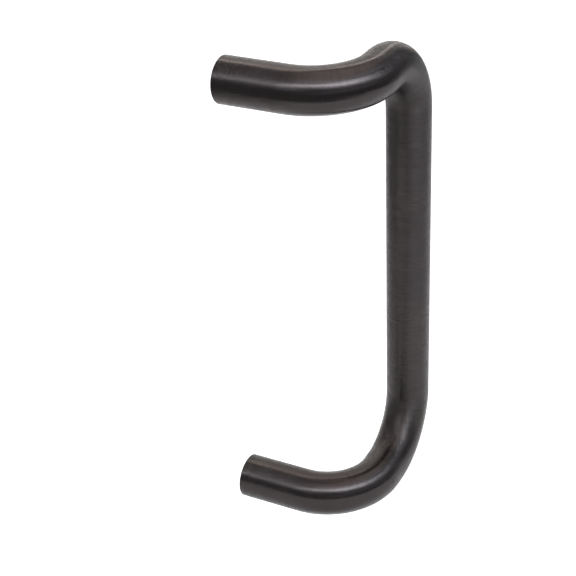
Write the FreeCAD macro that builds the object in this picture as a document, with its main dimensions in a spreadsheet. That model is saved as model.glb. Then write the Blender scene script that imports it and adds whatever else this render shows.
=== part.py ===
"""Offset door pull: one solid round bar, bent twice at each end and tapped in both end faces.

Frame, in millimetres: the door face is the plane Y = 0, and the bar stands out from it towards -Y. +Z is up,
along the grip. The origin is on the door face, midway between the two tapped holes, and the grip lies on the
+X side of them. Each end leaves the door straight, turns sideways in a level plane and then turns into the
grip in an upright plane. The lower half is the upper half mirrored in the plane Z = 0.
"""

import FreeCAD
import Part
import math
import os
import Sketcher

PARTS_FOLDER = "parts"
SHEET = "Sizes"

# Each driving size of the bar, in millimetres or degrees, with what it measures.
DRIVING_SIZES = (
    ("bar_diameter", "25.4", "round bar, 1 in"),
    ("hole_centres", "254.0", "upper tapped hole to lower tapped hole, 10 in"),
    ("hand_clearance", "58.7375", "door face to the back of the grip, 2 5/16 in"),
    ("bend_radius", "34.925", "every bend, at the centreline, 1 3/8 in"),
    ("elbow_flat", "6.35", "straight bar between the two bends of an end, 1/4 in"),
    ("tap_drill_diameter", "6.53", "tap drill for a 5/16-18 thread"),
    ("tapped_depth", "19.05", "wall that takes full threads, 3/4 in"),
    ("thread_run_out", "4.0", "drilled wall past the last full thread"),
    ("drill_point_angle", "118.0", "cone that the drill leaves at the bottom"),
    ("mouth_chamfer", "0.4", "broken edge at the mouth of each hole"),
    ("mouth_angle", "90.0", "full angle of that broken edge"),
    ("end_chamfer", "0.6", "broken edge round each end face"),
)

# Each size that follows from them, as a formula of the sheet.
DERIVED_SIZES = (
    ("stand_off", "=hand_clearance + bar_diameter / 2", "door face to the grip's centreline"),
    ("leg_straight", "=stand_off - bend_radius", "straight bar from the door face to the first bend"),
    ("elbow_end", "=bend_radius + elbow_flat", "line of the holes to the start of the second bend"),
    ("grip_offset", "=elbow_end + bend_radius", "line of the holes to the grip's centreline"),
    ("half_centres", "=hole_centres / 2", "middle of the pull to either hole"),
    ("grip_half_straight", "=half_centres - bend_radius", "middle of the grip to its bend"),
    ("drilled_depth", "=tapped_depth + thread_run_out", "end face to the drill's shoulder"),
    ("mouth_diameter", "=tap_drill_diameter + 2 * mouth_chamfer", "each hole where it meets its end face"),
)

# How a sketch's constraints number the points of a curve, and the sketch's own axes and origin.
START, FINISH, CENTRE = 1, 2, 3
LEVEL_AXIS, UPRIGHT_AXIS = -1, -2
ORIGIN = (LEVEL_AXIS, START)

NORMAL = FreeCAD.Vector(0, 0, 1)
QUARTER_TURN = math.pi / 2
TOUCH = 1e-4  # mm, how near an edge lies to the end face that it bounds
VOLUME_TOLERANCE = 1e-4  # largest share by which a volume may miss its formula


def size_sheet(doc):
    """The spreadsheet that every sketch and feature takes its sizes from."""
    sheet = doc.addObject("Spreadsheet::Sheet", SHEET)
    for row, (alias, content, meaning) in enumerate(DRIVING_SIZES + DERIVED_SIZES, start=1):
        sheet.set(f"A{row}", alias)
        sheet.set(f"B{row}", content)
        sheet.setAlias(f"B{row}", alias)
        sheet.set(f"C{row}", meaning)
    doc.recompute()
    return sheet


def point(x, y):
    """A point of a sketch."""
    return FreeCAD.Vector(x, y, 0)


def sketch_on(body, name, plane, offset=None):
    """A sketch on one of the body's origin planes, or off it along its normal by a size of the sheet."""
    sketch = body.newObject("Sketcher::SketchObject", name)
    support = next(feature for feature in body.Origin.OriginFeatures if feature.Role == plane)
    sketch.AttachmentSupport = [(support, "")]
    sketch.MapMode = "FlatFace"
    if offset:
        sketch.setExpression("AttachmentOffset.Base.z", f"{SHEET}.{offset}")
    return sketch


def tie(sketch, *constraint):
    """A constraint with no size of its own."""
    sketch.addConstraint(Sketcher.Constraint(*constraint))


def dimension(sketch, size, *constraint):
    """A dimension that follows a size of the sheet and is named after it."""
    index = sketch.addConstraint(Sketcher.Constraint(*constraint))
    sketch.renameConstraint(index, size)
    sketch.setExpression(f"Constraints.{size}", f"{SHEET}.{size}")


def leg_section(body, sheet):
    """The round bar where its upper leg meets the door face."""
    sketch = sketch_on(body, "leg_section", "XZ_Plane")
    height = sheet.half_centres
    ring = sketch.addGeometry(Part.Circle(point(0, height), NORMAL, sheet.bar_diameter / 2))
    tie(sketch, "PointOnObject", ring, CENTRE, UPRIGHT_AXIS)
    dimension(sketch, "half_centres", "DistanceY", *ORIGIN, ring, CENTRE, height)
    dimension(sketch, "bar_diameter", "Diameter", ring, sheet.bar_diameter)
    return sketch


def leg_path(body, sheet):
    """The upper leg's centreline from above: out from the door, round to the side, then the elbow flat."""
    sketch = sketch_on(body, "leg_path", "XY_Plane", "half_centres")
    radius = sheet.bend_radius
    bend_start = point(0, -sheet.leg_straight)
    bend_end = point(radius, -sheet.stand_off)
    bend_circle = Part.Circle(point(radius, -sheet.leg_straight), NORMAL, radius)
    leg = sketch.addGeometry(Part.LineSegment(point(0, 0), bend_start))
    bend = sketch.addGeometry(Part.ArcOfCircle(bend_circle, 2 * QUARTER_TURN, 3 * QUARTER_TURN))
    flat = sketch.addGeometry(Part.LineSegment(bend_end, point(sheet.elbow_end, -sheet.stand_off)))
    tie(sketch, "Coincident", leg, START, *ORIGIN)
    tie(sketch, "Vertical", leg)
    tie(sketch, "Tangent", leg, FINISH, bend, START)
    tie(sketch, "Tangent", bend, FINISH, flat, START)
    tie(sketch, "Horizontal", flat)
    dimension(sketch, "leg_straight", "Distance", leg, sheet.leg_straight)
    dimension(sketch, "bend_radius", "Radius", bend, radius)
    dimension(sketch, "elbow_flat", "Distance", flat, sheet.elbow_flat)
    return sketch


def elbow_section(body, sheet):
    """The round bar at the end of the elbow flat, where the second bend starts."""
    sketch = sketch_on(body, "elbow_section", "YZ_Plane", "elbow_end")
    centre = point(-sheet.stand_off, sheet.half_centres)
    ring = sketch.addGeometry(Part.Circle(centre, NORMAL, sheet.bar_diameter / 2))
    dimension(sketch, "stand_off", "DistanceX", ring, CENTRE, *ORIGIN, sheet.stand_off)
    dimension(sketch, "half_centres", "DistanceY", *ORIGIN, ring, CENTRE, sheet.half_centres)
    dimension(sketch, "bar_diameter", "Diameter", ring, sheet.bar_diameter)
    return sketch


def grip_path(body, sheet):
    """The grip's centreline, seen from the front: round from level to upright, then down to the middle."""
    sketch = sketch_on(body, "grip_path", "XZ_Plane", "stand_off")
    radius = sheet.bend_radius
    grip_top = point(sheet.grip_offset, sheet.grip_half_straight)
    bend_circle = Part.Circle(point(sheet.elbow_end, sheet.grip_half_straight), NORMAL, radius)
    bend = sketch.addGeometry(Part.ArcOfCircle(bend_circle, 0, QUARTER_TURN))
    grip = sketch.addGeometry(Part.LineSegment(grip_top, point(sheet.grip_offset, 0)))
    tie(sketch, "Vertical", bend, FINISH, bend, CENTRE)
    tie(sketch, "Tangent", bend, START, grip, START)
    tie(sketch, "Vertical", grip)
    tie(sketch, "PointOnObject", grip, FINISH, LEVEL_AXIS)
    dimension(sketch, "elbow_end", "DistanceX", *ORIGIN, bend, FINISH, sheet.elbow_end)
    dimension(sketch, "half_centres", "DistanceY", *ORIGIN, bend, FINISH, sheet.half_centres)
    dimension(sketch, "bend_radius", "Radius", bend, radius)
    return sketch


def bent_bar(body, name, section, path):
    """The round section carried along one path."""
    bar = body.newObject("PartDesign::AdditivePipe", name)
    bar.Profile = section
    bar.Spine = (path, [])
    body.Document.recompute()
    return bar


def lower_half(body, upper_features):
    """The upper half again, mirrored in the level plane through the middle of the grip."""
    mirror = body.newObject("PartDesign::Mirrored", "lower_half")
    level = next(feature for feature in body.Origin.OriginFeatures if feature.Role == "XY_Plane")
    mirror.Originals = upper_features
    mirror.MirrorPlane = (level, [""])
    body.Tip = mirror
    body.Document.recompute()
    return mirror


def hole_layout(body, sheet):
    """The places of the two tapped holes on the door face, evenly above and below the origin."""
    sketch = sketch_on(body, "hole_layout", "XZ_Plane")
    rise = sheet.half_centres
    radius = sheet.tap_drill_diameter / 2
    upper = sketch.addGeometry(Part.Circle(point(0, rise), NORMAL, radius))
    lower = sketch.addGeometry(Part.Circle(point(0, -rise), NORMAL, radius))
    tie(sketch, "PointOnObject", upper, CENTRE, UPRIGHT_AXIS)
    tie(sketch, "Symmetric", upper, CENTRE, lower, CENTRE, *ORIGIN)
    tie(sketch, "Equal", upper, lower)
    dimension(sketch, "hole_centres", "DistanceY", lower, CENTRE, upper, CENTRE, sheet.hole_centres)
    dimension(sketch, "tap_drill_diameter", "Diameter", upper, sheet.tap_drill_diameter)
    return sketch


def tapped_holes(body, layout):
    """Both holes: drilled blind up the legs to the tap drill's size, with the edge of the mouth broken."""
    holes = body.newObject("PartDesign::Hole", "tapped_holes")
    holes.Profile = layout
    body.Document.recompute()
    holes.Reversed = True
    holes.ThreadType = "None"
    holes.DepthType = "Dimension"
    holes.DrillPoint = "Angled"
    holes.HoleCutType = "Countersink"
    holes.HoleCutCustomValues = True
    holes.setExpression("Diameter", f"{SHEET}.tap_drill_diameter")
    holes.setExpression("Depth", f"{SHEET}.drilled_depth")
    holes.setExpression("DrillPointAngle", f"{SHEET}.drill_point_angle")
    holes.setExpression("HoleCutDiameter", f"{SHEET}.mouth_diameter")
    holes.setExpression("HoleCutCountersinkAngle", f"{SHEET}.mouth_angle")
    body.Document.recompute()
    return holes


def is_end_rim(edge, bar_radius):
    """Whether an edge is the outer circle of one of the two end faces."""
    if not isinstance(edge.Curve, Part.Circle):
        return False
    return abs(edge.Curve.Radius - bar_radius) < TOUCH and abs(edge.Curve.Center.y) < TOUCH


def end_chamfers(body, base, sheet):
    """The small broken edge round both end faces, so that the bar sits flat on the door."""
    edges = enumerate(base.Shape.Edges, start=1)
    rims = [f"Edge{number}" for number, edge in edges if is_end_rim(edge, sheet.bar_diameter / 2)]
    chamfer = body.newObject("PartDesign::Chamfer", "end_chamfers")
    chamfer.Base = (base, rims)
    chamfer.setExpression("Size", f"{SHEET}.end_chamfer")
    body.Document.recompute()
    return chamfer


def centreline_length(sheet):
    """The bar's length along its axis, from one end face to the other."""
    four_bends = 4 * QUARTER_TURN * sheet.bend_radius
    straights = sheet.leg_straight + sheet.elbow_flat + sheet.grip_half_straight
    return four_bends + 2 * straights


def cone_frustum(wide, narrow, full_angle):
    """The volume of a round cone from one diameter down to another."""
    height = (wide - narrow) / 2 / math.tan(math.radians(full_angle / 2))
    return math.pi * height * (wide**2 + wide * narrow + narrow**2) / 12


def holes_volume(sheet):
    """What the two holes take out of the bar: each a mouth, a straight wall and the drill point's cone."""
    drill = sheet.tap_drill_diameter
    mouth_depth = sheet.mouth_chamfer / math.tan(math.radians(sheet.mouth_angle / 2))
    mouth = cone_frustum(sheet.mouth_diameter, drill, sheet.mouth_angle)
    wall = math.pi * drill**2 / 4 * (sheet.drilled_depth - mouth_depth)
    point_cone = cone_frustum(drill, 0, sheet.drill_point_angle)
    return 2 * (mouth + wall + point_cone)


def compare_volume(what, measured, expected):
    """Stop if a step of the bar hasn't the volume that its sizes give."""
    if abs(measured - expected) > VOLUME_TOLERANCE * expected:
        raise RuntimeError(f"{what}: {measured:.1f} mm3, where its sizes give {expected:.1f} mm3")
    print(f"{what}: {measured:.1f} mm3")


def pull_bar(doc, sheet):
    """The whole pull as one body."""
    body = doc.addObject("PartDesign::Body", "pull_bar")
    leg = bent_bar(body, "leg_and_elbow", leg_section(body, sheet), leg_path(body, sheet))
    grip = bent_bar(body, "bend_and_half_grip", elbow_section(body, sheet), grip_path(body, sheet))
    blank = lower_half(body, [leg, grip])
    section_area = math.pi * sheet.bar_diameter**2 / 4
    compare_volume("bent blank", blank.Shape.Volume, section_area * centreline_length(sheet))
    holes = tapped_holes(body, hole_layout(body, sheet))
    compare_volume("drilled holes", blank.Shape.Volume - holes.Shape.Volume, holes_volume(sheet))
    end_chamfers(body, holes, sheet)
    return body


def check_document(doc, bodies):
    """Stop before anything is written if a feature failed or a body isn't one valid solid."""
    for item in doc.Objects:
        if "Invalid" in item.State or "Error" in item.State:
            raise RuntimeError(f"{item.Name} failed: {item.State}")
    for body in bodies:
        shape = body.Shape
        if shape.isNull() or not shape.isValid() or len(shape.Solids) != 1:
            raise RuntimeError(f"{body.Label} isn't one valid solid")


def main():
    doc = FreeCAD.newDocument("offset_pull")
    sheet = size_sheet(doc)
    bodies = [pull_bar(doc, sheet)]
    doc.recompute()
    check_document(doc, bodies)
    os.makedirs(PARTS_FOLDER, exist_ok=True)
    for body in bodies:
        body.Shape.exportStep(os.path.join(PARTS_FOLDER, f"{body.Label}.step"))
        print(f"{body.Label}: {body.Shape.Volume:.1f} mm3, {len(body.Shape.Faces)} faces")


main()
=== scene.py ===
"""Offset pull handle: a bent round bar in brushed dark bronze, over a pale floor in soft studio light.

Metres, in the part's own frame: Y = 0 is the face of the door, with the bar on its -Y side, Z runs up the
door, and the grip stands off to +X.
"""
import math

import bpy
from mathutils import Matrix, Vector


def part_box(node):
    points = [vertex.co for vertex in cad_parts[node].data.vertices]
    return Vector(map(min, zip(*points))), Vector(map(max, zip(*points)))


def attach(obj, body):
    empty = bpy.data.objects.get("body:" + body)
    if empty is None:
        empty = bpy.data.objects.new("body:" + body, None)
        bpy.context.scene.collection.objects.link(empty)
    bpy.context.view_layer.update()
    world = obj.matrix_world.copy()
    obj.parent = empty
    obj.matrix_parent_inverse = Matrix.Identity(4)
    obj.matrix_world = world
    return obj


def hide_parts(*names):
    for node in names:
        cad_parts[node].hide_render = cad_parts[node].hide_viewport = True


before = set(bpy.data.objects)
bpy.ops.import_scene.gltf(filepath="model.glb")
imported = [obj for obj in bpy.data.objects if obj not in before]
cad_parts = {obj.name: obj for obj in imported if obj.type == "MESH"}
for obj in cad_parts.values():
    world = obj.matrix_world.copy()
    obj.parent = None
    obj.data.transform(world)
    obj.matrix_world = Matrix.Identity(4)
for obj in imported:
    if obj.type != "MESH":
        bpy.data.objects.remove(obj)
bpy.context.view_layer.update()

MM = 0.001
TURN = 2 * math.pi

# The bar, from the box of the part's own solid
BAR_LOW, BAR_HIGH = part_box("pull_bar")
BAR_RADIUS = -BAR_LOW.x
HALF_CENTRES = BAR_HIGH.z - BAR_RADIUS
STAND_OFF = -BAR_LOW.y - BAR_RADIUS
GRIP_OFFSET = BAR_HIGH.x - BAR_RADIUS
BEND_RADIUS = 34.925 * MM
EDGE_RADIUS = 0.6 * MM

# The tapped holes in the two ends
DRILL_RADIUS = 3.265 * MM
MOUTH_CHAMFER = 0.4 * MM
THREAD_RADIUS = 3.969 * MM
THREAD_PITCH = 25.4 * MM / 18
FULL_THREAD = 19.05 * MM
DRILLED_DEPTH = 23.05 * MM
DRILL_POINT_ANGLE = math.radians(118)
# Where each corner of the thread's profile lies in one pitch, and how far out from the drilled wall it is
THREAD_CORNERS = ((0.0, 0.0), (0.27, 0.0), (0.565, 1.0), (0.705, 1.0))
LEAD_IN = 0.7 * THREAD_PITCH
RUN_OUT = 2.0 * THREAD_PITCH

# How finely the surface is divided
AROUND = 96
BEND_STEPS = 44
STRAIGHT_STEP = 3.0 * MM
EDGE_STEPS = 6
FACE_RINGS = 5
# The plain strip on each side of an end's rounded edge, and the least way from that edge to the next row
EDGE_MARGIN = 0.15 * MM
EDGE_CLEARANCE = 0.5 * MM
SHARP = math.radians(40)
SAME_POINT = 1e-8

# The brushed finish: how far apart its grooves are, how deep and how unlike each other, and over what
# share of a pixel their slope is read
GROOVE_SPACING = 0.02 * MM
GROOVE_DEPTH = 0.0145 * MM
DEEP_GROOVES = 2.6
SLOPE_STEP = 0.005
# Each pattern of the finish: how far apart its marks are along the bar, and how long they are round it
GROOVES = (GROOVE_SPACING, 40 * MM)
GROOVE_DEPTHS = (2 * GROOVE_SPACING, 15 * MM)
RINGS = (0.9 * MM, 60 * MM)
DRIFT = (26 * MM, 30 * MM)
CLOUDS = (9 * MM, 9 * MM)
FINE_DETAIL = 0.6

# The coating's colour from dark to light, each with its place on the tone, and what the tone is made of
COATING = ((0.36, (0.047, 0.042, 0.041)), (0.50, (0.052, 0.046, 0.045)), (0.64, (0.057, 0.051, 0.049)))
DRIFT_SHARE, CLOUD_SHARE, RING_SHARE = 0.55, 0.25, 0.20
GLOSS_ROUGHNESS = 0.10
UNEVENNESS = 0.03

# The photograph's camera
VIEW_TARGET = Vector((30.27, -16.30, -9.26)) * MM
VIEW_AZIMUTH = math.radians(-62.0)
VIEW_ELEVATION = math.radians(30.39)
VIEW_ROLL = math.radians(-2.68)
VIEW_DISTANCE = 787.22 * MM
VIEW_LENS = 86.05
SENSOR = 36.0
NEAREST, FARTHEST = 0.02, 50.0

# The paper under the pull, as it lies to the camera's right and front, and how far its front edge turns up
PAPER_HEIGHT = -190 * MM
PAPER_MIDDLE = Vector((38, -36, 0)) * MM
PAPER_LEFT, PAPER_RIGHT = -340 * MM, 900 * MM
PAPER_BACK, PAPER_FOLD, PAPER_FRONT = -1400 * MM, 60 * MM, 375 * MM
PAPER_RISE = 87 * MM
PAPER_GLOW = 0.08

# The pale room: square, and with a glow of its own that makes it the picture's bare background
ROOM_HALF = 6.0
ROOM_CORNERS = ((-1, -1), (1, -1), (1, 1), (-1, 1))
WALL_HEIGHT = 6.0
FLOOR_UNDER_PAPER = 1 * MM
BACKGROUND_GLOW = 1.4

# What paper, floor and walls are made of
WHITE_DARKEST, WHITE_LIGHTEST = (0.79, 0.79, 0.79, 1), (0.83, 0.83, 0.83, 1)
MOTTLE_SCALE = 6.0
WHITE_ROUGHNESS = 0.9

# The studio
LIGHT_DISTANCE = 1.2
ROOM_GLOW = 0.31
ROOM_TINT = (1.0, 1.0, 1.03, 1)
COOL, NEUTRAL, WARM = (0.91, 1.0, 1.15), (1.0, 1.0, 1.0), (1.10, 1.0, 0.92)


def direction(azimuth, elevation):
    """The way out from the middle of the pull, in the compass of the views: 0 is -Y and 90 is +X."""
    level = math.cos(elevation)
    return Vector((math.sin(azimuth) * level, -math.cos(azimuth) * level, math.sin(elevation)))


def rightward(azimuth):
    """The level way to the right, for an eye that looks at the pull from that azimuth."""
    return Vector((math.cos(azimuth), math.sin(azimuth), 0))


class Value:
    """One socket of a material, written in sums as a number is."""

    def __init__(self, finish, socket):
        self.finish = finish
        self.socket = socket

    def maths(self, operation, *values):
        """The result of that operation on sockets and numbers."""
        return self.finish.add("ShaderNodeMath", {"operation": operation}, dict(enumerate(values)))

    def __add__(self, other):
        return self.maths("ADD", self, other)

    def __radd__(self, other):
        return self.maths("ADD", other, self)

    def __sub__(self, other):
        return self.maths("SUBTRACT", self, other)

    def __rsub__(self, other):
        return self.maths("SUBTRACT", other, self)

    def __mul__(self, other):
        return self.maths("MULTIPLY", self, other)

    def __rmul__(self, other):
        return self.maths("MULTIPLY", other, self)

    def power(self, exponent):
        return self.maths("POWER", self, exponent)

    def cosine(self):
        return self.maths("COSINE", self)

    def sine(self):
        return self.maths("SINE", self)


class Finish:
    """A material that is put together from nodes."""

    def __init__(self, name):
        self.material = bpy.data.materials.new(name)
        self.material.use_nodes = True
        self.tree = self.material.node_tree
        self.tree.nodes.clear()

    def add(self, kind, settings, inputs, output=0):
        """A node with those settings, and those values or links in its sockets. It gives one output."""
        node = self.tree.nodes.new(kind)
        for name, setting in settings.items():
            if name == "stops":
                for stop, (place, colour) in zip(self.stops(node.color_ramp, len(setting)), setting):
                    stop.position = place
                    stop.color = (*colour, 1)
            else:
                setattr(node, name, setting)
        for name, given in inputs.items():
            socket = node.inputs[name]
            if isinstance(given, Value):
                self.tree.links.new(given.socket, socket)
            else:
                socket.default_value = given
        return Value(self, node.outputs[output])

    def cover(self, surface):
        """The finished material with that surface."""
        out = self.tree.nodes.new("ShaderNodeOutputMaterial")
        self.tree.links.new(surface.socket, out.inputs["Surface"])
        return self.material

    def stops(self, ramp, count):
        """The ramp's stops, as many as that."""
        while len(ramp.elements) < count:
            ramp.elements.new(0.5)
        return ramp.elements

    def mix(self, amount, first, second):
        """One colour turning into another. The node's colour sockets come after those of its other kinds."""
        settings = {"data_type": "RGBA", "blend_type": "MIX"}
        return self.add("ShaderNodeMix", settings, {0: amount, 6: first, 7: second}, 2)


def bronze():
    """Dark bronze on brushed metal: fine grooves run round the bar, and the tone drifts along it."""
    finish = Finish("brushed_dark_bronze")
    # The side of a groove that faces away from the eye stays dark
    finish.material.cycles.use_bump_map_correction = False
    wrap = finish.add("ShaderNodeUVMap", {"uv_map": "wrap"}, {})
    turns = finish.add("ShaderNodeSeparateXYZ", {}, {0: wrap}, 0)
    along = finish.add("ShaderNodeSeparateXYZ", {}, {0: wrap}, 1)
    round_x = (turns * TURN).cosine()
    round_y = (turns * TURN).sine()

    def pattern(marks, detail, seed):
        """Noise drawn out round the bar, from how far apart its marks are and how long."""
        spacing, length = marks
        reach = BAR_RADIUS / length
        place = finish.add(
            "ShaderNodeCombineXYZ",
            {},
            {0: round_x * reach + seed, 1: round_y * reach, 2: along * (1 / spacing)},
        )
        look = {"Vector": place, "Scale": 1.0, "Detail": detail, "Roughness": FINE_DETAIL}
        return finish.add("ShaderNodeTexNoise", {}, look)

    fine = pattern(GROOVES, detail=0.0, seed=3.1)
    depth = pattern(GROOVE_DEPTHS, detail=0.0, seed=51.2)
    rings = pattern(RINGS, detail=2.0, seed=17.4)
    drift = pattern(DRIFT, detail=2.0, seed=8.7)
    cloud = pattern(CLOUDS, detail=3.0, seed=29.3)

    tone = drift * DRIFT_SHARE + cloud * CLOUD_SHARE + rings * RING_SHARE
    colour = finish.add("ShaderNodeValToRGB", {"stops": COATING}, {0: tone})
    roughness = GLOSS_ROUGHNESS + cloud * UNEVENNESS + rings * UNEVENNESS
    # Most grooves are shallow, and a few are deep: the deep ones spread a light far along the bar
    height = (fine - 0.5) * (depth * 2).power(DEEP_GROOVES)
    relief = {"Strength": 1.0, "Filter Width": SLOPE_STEP, "Distance": GROOVE_DEPTH, "Height": height}
    bump = finish.add("ShaderNodeBump", {}, relief)
    metal = {"Base Color": colour, "Metallic": 1.0, "Roughness": roughness, "Normal": bump}
    return finish.cover(finish.add("ShaderNodeBsdfPrincipled", {}, metal))


def plain_white(name, glow):
    """Plain white with the faintest mottle, and a glow of its own."""
    finish = Finish(name)
    place = finish.add("ShaderNodeTexCoord", {}, {}, "Object")
    mottle = finish.add("ShaderNodeTexNoise", {}, {"Vector": place, "Scale": MOTTLE_SCALE, "Detail": 3.0})
    colour = finish.mix(mottle, WHITE_DARKEST, WHITE_LIGHTEST)
    white = {
        "Base Color": colour,
        "Roughness": WHITE_ROUGHNESS,
        "Emission Color": colour,
        "Emission Strength": glow,
    }
    return finish.cover(finish.add("ShaderNodeBsdfPrincipled", {}, white))


class Station:
    """A place on the bar's centreline: where it is, which way the bar runs there, and how far along."""

    def __init__(self, at, ahead, side, far=0.0):
        self.at = at
        self.ahead = ahead
        self.side = side
        self.far = far

    def moved(self, distance):
        """The place that far straight ahead."""
        return Station(self.at + self.ahead * distance, self.ahead, self.side, self.far + distance)

    def swung(self, toward, angle):
        """The place reached by going round a bend towards that side."""
        pivot = self.at + toward * BEND_RADIUS
        swing = Matrix.Rotation(angle, 3, self.ahead.cross(toward))
        at = pivot + swing @ (self.at - pivot)
        return Station(at, swing @ self.ahead, swing @ self.side, self.far + BEND_RADIUS * angle)

    def rim(self, turn, radius):
        """The point at that fraction of a turn round the bar."""
        other = self.ahead.cross(self.side)
        angle = TURN * turn
        return self.at + (self.side * math.cos(angle) + other * math.sin(angle)) * radius


def centreline():
    """The stations from the upper end of the bar to the lower one, run by run and bend by bend."""
    quarter = math.pi / 2
    elbow_flat = GRIP_OFFSET - 2 * BEND_RADIUS
    leg = STAND_OFF - BEND_RADIUS
    grip = 2 * (HALF_CENTRES - BEND_RADIUS)
    out, level, down = Vector((0, -1, 0)), Vector((1, 0, 0)), Vector((0, 0, -1))
    steps = (
        ("run", leg), ("bend", level), ("run", elbow_flat), ("bend", down), ("run", grip),
        ("bend", -level), ("run", elbow_flat), ("bend", -out), ("run", leg),
    )
    stations = [Station(Vector((0, 0, HALF_CENTRES)), out, Vector((0, 0, 1)))]
    for kind, value in steps:
        start = stations[-1]
        if kind == "run":
            count = math.ceil(value / STRAIGHT_STEP)
            stations += [start.moved(value * k / count) for k in range(1, count + 1)]
        else:
            stations += [start.swung(value, quarter * k / BEND_STEPS) for k in range(1, BEND_STEPS + 1)]
    return stations


class Skin:
    """The bar's surface: faces that share their points, each corner with its place on the wrap map."""

    def __init__(self):
        self.points = []
        self.known = {}
        self.faces = []
        self.maps = []

    def corner(self, point):
        """The number of that point, which is new only if no point lies there yet."""
        key = tuple(round(c / SAME_POINT) for c in point)
        if key not in self.known:
            self.known[key] = len(self.points)
            self.points.append(point)
        return self.known[key]

    def face(self, corners):
        """A face from (point, map) corners. Corners that fall together count once."""
        used, maps = [], []
        for point, spot in corners:
            index = self.corner(point)
            if index not in used:
                used.append(index)
                maps.append(spot)
        if len(used) > 2:
            self.faces.append(used)
            self.maps += maps

    def band(self, first, second):
        """The faces between two rows, each a list of (point, map) that goes once round."""
        for k in range(AROUND):
            self.face((first[k], first[k + 1], second[k + 1], second[k]))

    def mesh(self, name):
        """The whole skin as a smooth mesh with its wrap map."""
        mesh = bpy.data.meshes.new(name)
        mesh.from_pydata(self.points, [], self.faces)
        wrap = mesh.uv_layers.new(name="wrap")
        for loop, spot in zip(wrap.data, self.maps):
            loop.uv = spot
        mesh.polygons.foreach_set("use_smooth", [True] * len(mesh.polygons))
        mesh.set_sharp_from_angle(angle=SHARP)
        return mesh


def row(station, depth, radius, far):
    """One plain row round the bar, at that depth past the station and with that radius."""
    centre = station.moved(depth)
    turns = [k / AROUND for k in range(AROUND + 1)]
    return [(centre.rim(turn % 1, radius), (turn, far)) for turn in turns]


def thread_rise(depth):
    """How deep the thread is cut at that depth in the hole: none at the mouth and at the run-out's end."""
    lead_in = (depth - MOUTH_CHAMFER) / LEAD_IN
    run_out = (FULL_THREAD + RUN_OUT - depth) / RUN_OUT
    return max(0.0, min(1.0, lead_in, run_out))


def thread_rows(station, inward, far):
    """The tapped wall from the mouth to the end of the run-out, as rows that climb one pitch in a turn."""
    last = FULL_THREAD + RUN_OUT
    turns = math.ceil((last - MOUTH_CHAMFER) / THREAD_PITCH) + 1
    rows = []
    for pitch in range(turns):
        for phase, out in THREAD_CORNERS:
            spots = []
            for k in range(AROUND + 1):
                turn = k / AROUND
                depth = MOUTH_CHAMFER + THREAD_PITCH * (pitch - 1 + phase + turn)
                depth = max(MOUTH_CHAMFER, min(last, depth))
                radius = DRILL_RADIUS + (THREAD_RADIUS - DRILL_RADIUS) * out * thread_rise(depth)
                point = station.moved(inward * depth).rim(turn % 1, radius)
                spots.append((point, (turn, far + inward * depth)))
            rows.append(spots)
    return rows


def end_rows(station, inward):
    """The rows of one end, from the point of the drilled hole out to the rounded edge of the end face."""
    far = station.far
    point_depth = DRILLED_DEPTH + DRILL_RADIUS / math.tan(DRILL_POINT_ANGLE / 2)
    mouth_radius = DRILL_RADIUS + MOUTH_CHAMFER
    face_radius = BAR_RADIUS - EDGE_RADIUS
    inside = -inward * (BAR_RADIUS + DRILLED_DEPTH)
    rows = [
        row(station, inward * point_depth, 0.0, far + inside),
        row(station, inward * DRILLED_DEPTH, DRILL_RADIUS, far + inside),
        row(station, inward * (FULL_THREAD + RUN_OUT), DRILL_RADIUS, far + inside),
    ]
    rows += reversed(thread_rows(station, inward, far + inside))
    rows += [
        row(station, inward * MOUTH_CHAMFER, DRILL_RADIUS, far - inward * BAR_RADIUS),
        row(station, 0.0, mouth_radius, far - inward * (BAR_RADIUS - mouth_radius)),
    ]
    for k in range(1, FACE_RINGS):
        radius = mouth_radius + (face_radius - mouth_radius) * k / FACE_RINGS
        rows.append(row(station, 0.0, radius, far - inward * (BAR_RADIUS - radius)))
    margin = EDGE_RADIUS + EDGE_MARGIN
    rows.append(row(station, 0.0, face_radius - EDGE_MARGIN, far - inward * margin))
    for k in range(EDGE_STEPS + 1):
        angle = math.pi / 2 * k / EDGE_STEPS
        radius = face_radius + EDGE_RADIUS * math.sin(angle)
        depth = EDGE_RADIUS * (1 - math.cos(angle))
        rows.append(row(station, inward * depth, radius, far + inward * (depth - (BAR_RADIUS - radius))))
    rows.append(row(station, inward * margin, BAR_RADIUS, far + inward * margin))
    return rows


def pull_bar(finish):
    """The whole bar with its threaded ends as one closed skin."""
    stations = centreline()
    first, last = stations[0], stations[-1]
    clear = EDGE_RADIUS + EDGE_CLEARANCE
    middle = [s for s in stations if clear < s.far < last.far - clear]
    rows = end_rows(first, 1)
    rows += [row(s, 0.0, BAR_RADIUS, s.far) for s in middle]
    rows += reversed(end_rows(last, -1))
    skin = Skin()
    for above, below in zip(rows, rows[1:]):
        skin.band(above, below)
    mesh = skin.mesh("bent_bar")
    mesh.materials.append(finish)
    bar = bpy.data.objects.new("bent_bar", mesh)
    bpy.context.scene.collection.objects.link(bar)
    return bar


def photo_camera():
    """The camera where the photograph was taken from."""
    back = direction(VIEW_AZIMUTH, VIEW_ELEVATION)
    right = rightward(VIEW_AZIMUTH)
    pose = Matrix((right, back.cross(right), back)).transposed() @ Matrix.Rotation(VIEW_ROLL, 3, "Z")
    data = bpy.data.cameras.new("photo_camera")
    data.sensor_width = SENSOR
    data.lens = VIEW_LENS
    data.clip_start = NEAREST
    data.clip_end = FARTHEST
    camera = bpy.data.objects.new("photo_camera", data)
    camera.matrix_world = Matrix.LocRotScale(VIEW_TARGET + back * VIEW_DISTANCE, pose, None)
    bpy.context.scene.collection.objects.link(camera)
    bpy.context.scene.camera = camera


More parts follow.
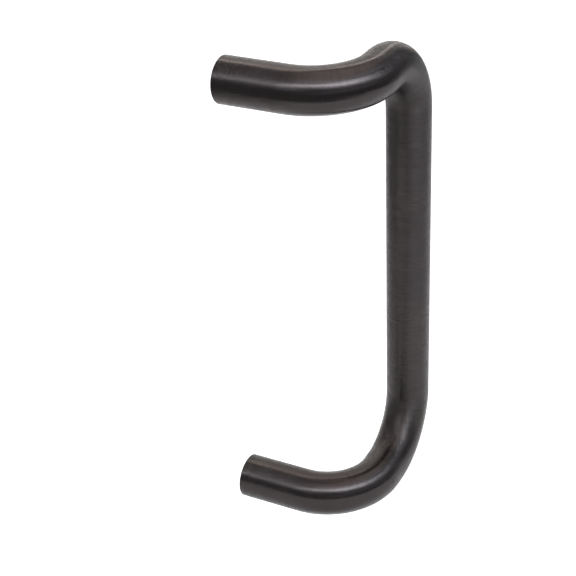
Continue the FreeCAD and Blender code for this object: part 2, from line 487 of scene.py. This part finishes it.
def softbox(name, at, span, brightness, tint=NEUTRAL):
    """A soft panel at that azimuth and elevation, with a width and height that are degrees as well."""
    azimuth, elevation = (math.radians(angle) for angle in at)
    wide, tall = (2 * LIGHT_DISTANCE * math.tan(math.radians(angle) / 2) for angle in span)
    away = direction(azimuth, elevation)
    right = rightward(azimuth)
    data = bpy.data.lights.new(name, "AREA")
    data.shape = "RECTANGLE"
    data.size = wide
    data.size_y = tall
    data.energy = brightness * math.pi * wide * tall
    data.color = tint
    pose = Matrix((right, away.cross(right), away)).transposed()
    lamp = bpy.data.objects.new(name, data)
    lamp.matrix_world = Matrix.LocRotScale(away * LIGHT_DISTANCE, pose, None)
    lamp.visible_camera = False
    bpy.context.scene.collection.objects.link(lamp)


def studio():
    """The soft panels round the pull, each with its azimuth, elevation, width and height, in a dim room."""
    # Over the camera: a long bright strip and a bright panel at its right end, among weaker ones
    softbox("key_strip", (-65, 49.5), (112, 8), 4.6)
    softbox("key_left", (-57, 50), (81, 18), 0.9)
    softbox("key_right", (-20, 42.3), (49, 13.5), 5.2, COOL)
    softbox("key_far_right", (12, 50), (57, 11), 1.3, COOL)
    softbox("key_under", (-8, 30), (58, 5), 1.7, COOL)
    softbox("key_over", (-54, 60.5), (96, 14), 0.8, COOL)
    # To the left and right of the camera: a weak panel and a narrow upright strip on each side
    softbox("side_left", (-101, 36), (26, 25), 1.3, COOL)
    softbox("side_right", (25, 24), (20, 15), 0.9, COOL)
    softbox("strip_left", (-92, 58), (3, 26), 1.6, COOL)
    softbox("strip_right", (-28, 37), (6, 16), 2.6, COOL)
    # Three wide panels: low in front, overhead and high behind
    softbox("front_middle", (-23, 17), (77, 15), 0.4, COOL)
    softbox("overhead", (16, 78), (55, 42), 1.5, WARM)
    softbox("back_top", (88, 60), (34, 14), 0.7, WARM)
    # Behind the pull: a pale wall of three panels, with thin bright edges at its top and both sides
    softbox("rim_top", (120, 54.5), (27, 4), 5.2, WARM)
    softbox("rim_right", (96, 39), (4.5, 34), 3.6, WARM)
    softbox("rim_left", (140.5, 38.5), (6, 31), 4.4, WARM)
    softbox("back_high", (119, 43), (36, 20), 0.7, WARM)
    softbox("back_middle", (116, 25), (57, 31), 0.6)
    softbox("back_low", (127, 2), (72, 19), 0.95, WARM)
    world = bpy.data.worlds.new("dim_room")
    world.use_nodes = True
    glow = world.node_tree.nodes["Background"]
    glow.inputs["Color"].default_value = ROOM_TINT
    glow.inputs["Strength"].default_value = ROOM_GLOW
    bpy.context.scene.world = world


def sheet(name, corners, finish):
    """A flat sheet that is part of the set, and not of the pull."""
    mesh = bpy.data.meshes.new(name)
    mesh.from_pydata(corners, [], [(0, 1, 2, 3)])
    mesh.materials.append(finish)
    piece = bpy.data.objects.new(name, mesh)
    bpy.context.scene.collection.objects.link(piece)
    return piece


def paper():
    """The white paper under the pull with its front edge turned up. Only the bar's reflections see it."""
    right = rightward(VIEW_AZIMUTH)
    front = direction(VIEW_AZIMUTH, 0)
    white = plain_white("white_paper", PAPER_GLOW)
    lines = []
    for distance, rise in ((PAPER_BACK, 0.0), (PAPER_FOLD, 0.0), (PAPER_FRONT, PAPER_RISE)):
        middle = PAPER_MIDDLE + front * distance + Vector((0, 0, PAPER_HEIGHT + rise))
        lines.append((middle + right * PAPER_LEFT, middle + right * PAPER_RIGHT))
    back, fold, lip = lines
    for name, behind, before in (("paper", back, fold), ("paper_lip", fold, lip)):
        piece = sheet(name, [*behind, *reversed(before)], white)
        piece.visible_camera = False


def room():
    """The pale floor and walls that fill the picture. They light nothing, and nothing mirrors them."""
    bare = plain_white("bare_white", BACKGROUND_GLOW)
    level = PAPER_HEIGHT - FLOOR_UNDER_PAPER
    low = [Vector((x * ROOM_HALF, y * ROOM_HALF, level)) for x, y in ROOM_CORNERS]
    high = [corner + Vector((0, 0, WALL_HEIGHT)) for corner in low]
    pieces = [sheet("pale_floor", low, bare)]
    for k in range(len(low)):
        pieces.append(sheet(f"pale_wall_{k}", [low[k - 1], low[k], high[k], high[k - 1]], bare))
    for piece in pieces:
        piece.visible_glossy = False
        piece.visible_diffuse = False
        piece.visible_shadow = False


bar = pull_bar(bronze())
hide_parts("pull_bar")
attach(bar, "root")
paper()
room()
studio()
photo_camera()
bpy.context.scene.view_settings.view_transform = "Standard"
bpy.context.scene.view_settings.look = "None"
